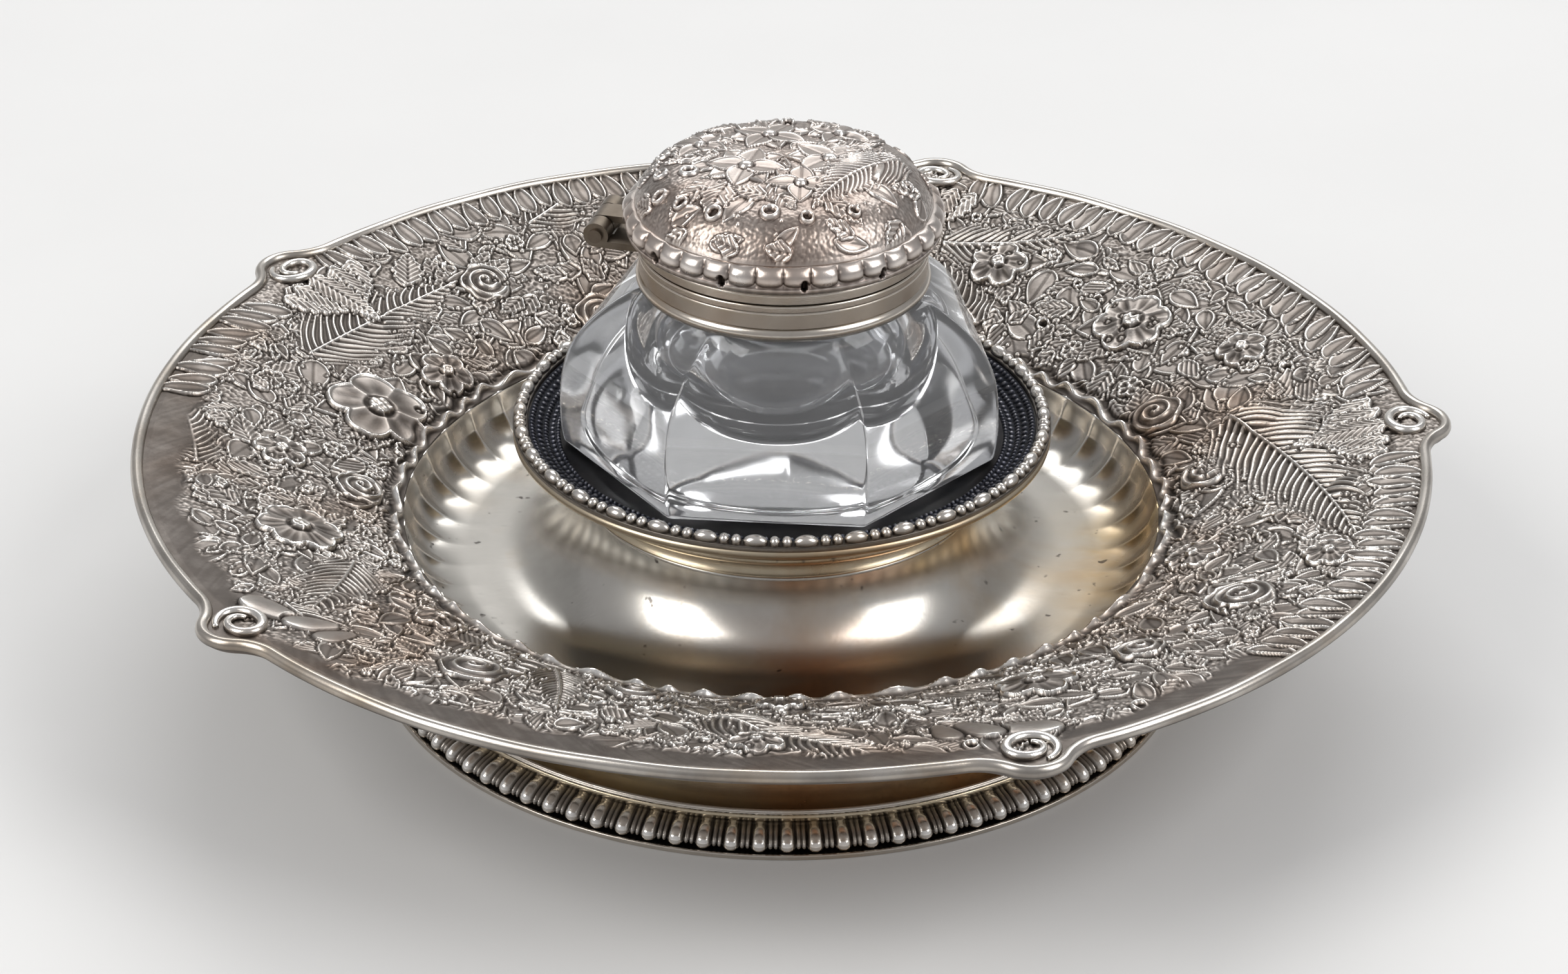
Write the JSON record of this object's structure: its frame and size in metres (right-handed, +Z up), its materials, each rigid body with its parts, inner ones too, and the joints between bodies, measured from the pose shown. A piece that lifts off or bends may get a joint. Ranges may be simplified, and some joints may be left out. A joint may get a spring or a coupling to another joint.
{
  "type": "desk inkstand",
  "caption": "Round chased silver desk inkstand: footed tray with a fluted well, a beaded gallery, a cut glass inkwell that lifts out and a domed lid on a hinge.",
  "frame": {"origin": "centre of the foot's base plane, on the surface that the inkstand stands on", "axes": "+Z up along the axis of the tray and of the well, +Y away from the front, +X to the right seen from the front"},
  "size_m": [0.2083, 0.2047, 0.0849],
  "materials": {
    "silver": "aged sterling silver, chased and burnished, oxidised in the recesses",
    "warm_silver": "plain silver with a warm, golden tarnish",
    "dark_silver": "blue-black oxidised, die-stamped silver",
    "pin_metal": "dull, darkened",
    "clear_glass": "polished clear lead glass, cut in panels",
    "plaster": "matte"
  },
  "bodies": {
    "tray": {"tray_dish": "silver", "tray_rim_wire": "silver", "rim_scrolls": "silver", "foot_skirt": "warm_silver", "foot_fillet_wire": "warm_silver", "foot_gadroon_ring": "silver", "foot_base_ring": "silver", "stand_spool": "warm_silver", "stand_moulding": "warm_silver", "gallery_cup": "warm_silver", "gallery_band": "dark_silver", "gallery_bead_wire": "silver"},
    "inkwell": {"glass_well": "clear_glass", "neck_cement": "plaster", "collar_bead_ring": "silver", "neck_collar": "silver", "collar_hinge_leaf": "warm_silver", "hinge_pin": "pin_metal"},
    "lid": {"lid_cap": "silver", "lid_band": "silver", "lid_lining": "silver", "lid_hinge_leaf": "warm_silver"}
  },
  "joints": [
    {"name": "inkwell_lift", "type": "slide", "parent": "tray", "child": "inkwell", "axis": [0, 0, 1], "range_m": [0, 0.05]},
    {"name": "lid_hinge", "type": "hinge", "parent": "inkwell", "child": "lid", "pos_m": [-0.02775, 0.00692, 0.07055], "axis": [-0.2419, -0.9703, 0], "range_deg": [0, 105]}
  ]
}
